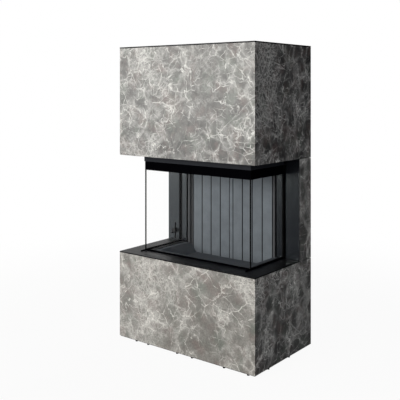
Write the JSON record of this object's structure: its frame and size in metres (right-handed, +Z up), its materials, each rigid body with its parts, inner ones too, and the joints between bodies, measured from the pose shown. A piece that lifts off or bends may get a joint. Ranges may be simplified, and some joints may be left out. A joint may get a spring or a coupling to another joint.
{
  "type": "soapstone stove",
  "caption": "Free-standing stone-clad fireplace, glazed at the front and on both sides, with a door that lifts straight up into the upper block on hidden counterweights.",
  "frame": {"origin": "middle of the footprint, on the floor", "axes": "+Z up, -Y towards the front pane, +X towards the right side as seen from the front"},
  "size_m": [0.9, 0.54, 1.606],
  "materials": {
    "stone": "satin",
    "black_steel": "satin",
    "grey_steel": "satin",
    "bare_steel": "satin",
    "cast_iron": "matte",
    "fireclay": "matte",
    "vermiculite": "matte",
    "clear_glass": "polished",
    "dark_sealant": "satin",
    "black_knob": "satin"
  },
  "bodies": {
    "body": {"front_plinth_rail": "black_steel", "rear_plinth_rail": "black_steel", "left_plinth_rail": "black_steel", "right_plinth_rail": "black_steel", "base_tray": "black_steel", "upper_carrier": "black_steel", "left_stand_panel": "black_steel", "right_stand_panel": "black_steel", "left_post": "black_steel", "right_post": "black_steel", "lower_front_slab": "stone", "lower_left_slab": "stone", "lower_right_slab": "stone", "upper_front_slab": "stone", "upper_left_slab": "stone", "upper_right_slab": "stone", "left_column_slab": "stone", "right_column_slab": "stone", "hearth_plate": "black_steel", "trim_frame": "grey_steel", "left_column_panel": "grey_steel", "right_column_panel": "grey_steel", "left_cheek_panel": "grey_steel", "right_cheek_panel": "grey_steel", "firebox_shell": "black_steel", "firebox_back": "black_steel", "lining_strip": "fireclay", "left_lining_board": "fireclay", "right_lining_board": "fireclay", "left_lining_return": "fireclay", "right_lining_return": "fireclay", "front_border": "fireclay", "left_border": "fireclay", "right_border": "fireclay", "floor_slab": "fireclay", "baffle_plate": "vermiculite", "smoke_hood": "black_steel", "air_box": "black_steel", "left_mechanism_plate": "black_steel", "right_mechanism_plate": "black_steel", "left_lift_cable": "bare_steel", "right_lift_cable": "bare_steel", "top_lid": "black_steel", "rear_panel": "black_steel"},
    "door": {"front_pane": "clear_glass", "left_pane": "clear_glass", "right_pane": "clear_glass", "left_corner_seal": "dark_sealant", "right_corner_seal": "dark_sealant", "left_carriage": "black_steel", "right_carriage": "black_steel", "door_bottom_rail": "black_steel", "door_top_rail": "black_steel"},
    "left_weight": {"left_counterweight": "cast_iron"},
    "right_weight": {"right_counterweight": "cast_iron"},
    "shaft": {"sync_shaft": "bare_steel"},
    "left_idler": {"left_idler_pulley": "bare_steel"},
    "right_idler": {"right_idler_pulley": "bare_steel"},
    "air_control": {"air_rod": "bare_steel", "air_knob": "black_knob"}
  },
  "joints": [
    {"name": "door_lift", "type": "slide", "parent": "body", "child": "door", "axis": [0, 0, 1], "range_m": [0, 0.47]},
    {"name": "left_weight_slide", "type": "slide", "parent": "body", "child": "left_weight", "axis": [0, 0, 1], "range_m": [-0.47, 0]},
    {"name": "right_weight_slide", "type": "slide", "parent": "body", "child": "right_weight", "axis": [0, 0, 1], "range_m": [-0.47, 0]},
    {"name": "shaft_spin", "type": "hinge", "parent": "body", "child": "shaft", "pos_m": [0, 0.217, 1.548], "axis": [1, 0, 0], "range_deg": [-1080, 0]},
    {"name": "left_idler_spin", "type": "hinge", "parent": "body", "child": "left_idler", "pos_m": [-0.384, 0.217, 0.54], "axis": [1, 0, 0], "range_deg": [-1080, 0]},
    {"name": "right_idler_spin", "type": "hinge", "parent": "body", "child": "right_idler", "pos_m": [0.384, 0.217, 0.54], "axis": [1, 0, 0], "range_deg": [-1080, 0]},
    {"name": "air_slide", "type": "slide", "parent": "body", "child": "air_control", "axis": [0, 0, 1], "range_m": [-0.04, 0.04]}
  ],
  "couplings": [
    {"joint": "left_weight_slide", "follows": "door_lift", "ratio": -1},
    {"joint": "right_weight_slide", "follows": "door_lift", "ratio": -1},
    {"joint": "shaft_spin", "follows": "door_lift", "rad_per_m": -40},
    {"joint": "left_idler_spin", "follows": "door_lift", "rad_per_m": -40},
    {"joint": "right_idler_spin", "follows": "door_lift", "rad_per_m": -40}
  ]
}
